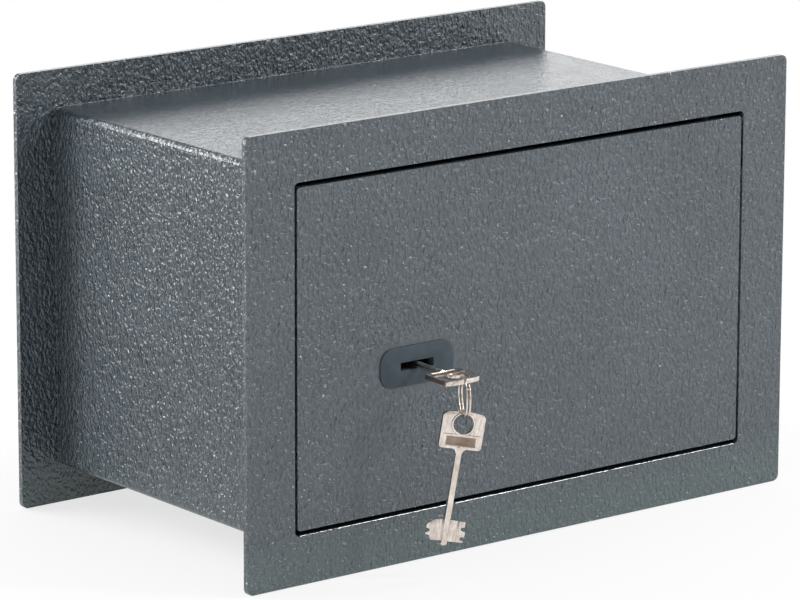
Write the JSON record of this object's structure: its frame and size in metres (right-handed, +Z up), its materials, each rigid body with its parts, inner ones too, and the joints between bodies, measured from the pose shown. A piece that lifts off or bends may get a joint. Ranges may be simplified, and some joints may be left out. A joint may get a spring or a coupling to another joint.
{
  "type": "wall safe",
  "caption": "Key-locked wall safe: bent casing between a front frame and a back plate, hinged door with sliding round bolts, a key in the lock and a spare on a split ring.",
  "frame": {"origin": "centre of the back plate's back face", "axes": "+Y into the wall, +Z up, +X to the hinge side as seen from the front"},
  "size_m": [0.35, 0.2482, 0.23],
  "materials": {
    "hammered_paint": "hammered semi-gloss anthracite paint",
    "cover_paint": "fine satin anthracite paint",
    "dark_plastic": "matte slate",
    "zinc_plate": "satin zinc plating",
    "bright_steel": "turned bright steel",
    "brass": "satin",
    "nickel_plate": "satin nickel plating"
  },
  "bodies": {
    "safe_body": {"casing_shell": "hammered_paint", "front_frame": "hammered_paint", "back_plate": "hammered_paint", "hinge_bracket_upper": "hammered_paint", "hinge_bracket_lower": "hammered_paint", "door_stop_upper": "hammered_paint", "door_stop_lower": "hammered_paint"},
    "door": {"door_plate": "hammered_paint", "keyhole_plate": "dark_plastic", "dog_bar": "zinc_plate", "hinge_lug_upper": "zinc_plate", "hinge_lug_lower": "zinc_plate", "hinge_pin_upper": "bright_steel", "hinge_pin_lower": "bright_steel", "hinge_spacer_upper": "zinc_plate", "hinge_spacer_lower": "zinc_plate", "bolt_guide_upper": "zinc_plate", "bolt_guide_lower": "zinc_plate", "lock_case": "zinc_plate", "lock_middle_plate": "bright_steel", "lock_cover": "zinc_plate", "lever_post": "bright_steel", "lock_screw_1": "bright_steel", "lock_screw_2": "bright_steel", "lock_screw_3": "bright_steel", "lock_screw_4": "bright_steel", "inner_cover": "cover_paint", "cover_stud_1": "zinc_plate", "cover_stud_2": "zinc_plate", "cover_stud_3": "zinc_plate", "cover_stud_4": "zinc_plate", "cover_screw_1": "bright_steel", "cover_screw_2": "bright_steel", "cover_screw_3": "bright_steel", "cover_screw_4": "bright_steel"},
    "bolt_carriage": {"carriage_plate": "zinc_plate", "lock_bolt": "bright_steel", "cam_follower_left": "bright_steel", "cam_follower_right": "bright_steel", "bolt_stump": "bright_steel", "bolt_upper": "bright_steel", "bolt_lower": "bright_steel", "bolt_screw_upper": "bright_steel", "bolt_screw_lower": "bright_steel", "carriage_screw_top": "bright_steel", "carriage_screw_bottom": "bright_steel"},
    "key_rotor": {"key_rotor": "brass"},
    "lever_1": {"lever_1": "brass", "lever_spring_1": "bright_steel"},
    "lever_2": {"lever_2": "brass", "lever_spring_2": "bright_steel"},
    "lever_3": {"lever_3": "brass", "lever_spring_3": "bright_steel"},
    "key": {"key": "nickel_plate"},
    "split_ring": {"split_ring": "nickel_plate"},
    "spare_key": {"spare_key": "nickel_plate"}
  },
  "joints": [
    {"name": "door_swing", "type": "hinge", "parent": "safe_body", "child": "door", "pos_m": [0.1241, -0.191, -0.0005], "axis": [0, 0, 1], "range_deg": [0, 100]},
    {"name": "key_turn", "type": "hinge", "parent": "door", "child": "key_rotor", "pos_m": [-0.07, -0.2, -0.0133], "axis": [0, 1, 0], "range_deg": [0, 180]},
    {"name": "bolt_throw", "type": "slide", "parent": "door", "child": "bolt_carriage", "axis": [-1, 0, 0], "range_m": [0, 0.0065]},
    {"name": "lever_lift_1", "type": "hinge", "parent": "door", "child": "lever_1", "pos_m": [-0.048, -0.1784, 0.0047], "axis": [0, 1, 0], "range_deg": [0, 3], "stiffness_Nm_per_rad": 0.02, "springref_deg": -5.73, "deforming": ["lever_spring_1"]},
    {"name": "lever_lift_2", "type": "hinge", "parent": "door", "child": "lever_2", "pos_m": [-0.048, -0.176, 0.0047], "axis": [0, 1, 0], "range_deg": [0, 3], "stiffness_Nm_per_rad": 0.02, "springref_deg": -5.73, "deforming": ["lever_spring_2"]},
    {"name": "lever_lift_3", "type": "hinge", "parent": "door", "child": "lever_3", "pos_m": [-0.048, -0.1736, 0.0047], "axis": [0, 1, 0], "range_deg": [0, 3], "stiffness_Nm_per_rad": 0.02, "springref_deg": -5.73, "deforming": ["lever_spring_3"]},
    {"name": "key_pull", "type": "slide", "parent": "key_rotor", "child": "key", "axis": [0, -0.9996, -0.0297], "range_m": [0, 0.04]},
    {"name": "ring_swing", "type": "hinge", "parent": "key", "child": "split_ring", "pos_m": [-0.07, -0.23833, -0.01444], "axis": [1, 0, 0], "range_deg": [-70, 5]},
    {"name": "spare_key_swing", "type": "hinge", "parent": "split_ring", "child": "spare_key", "pos_m": [-0.07, -0.23833, -0.02229], "axis": [0.8949, -0.4462, 0], "range_deg": [-60, 20]}
  ],
  "couplings": [
    {"joint": "key_turn", "follows": "bolt_throw", "rad_per_m": 483.32},
    {"joint": "lever_lift_2", "follows": "lever_lift_1", "ratio": 0.8},
    {"joint": "lever_lift_3", "follows": "lever_lift_1", "ratio": 0.6}
  ]
}
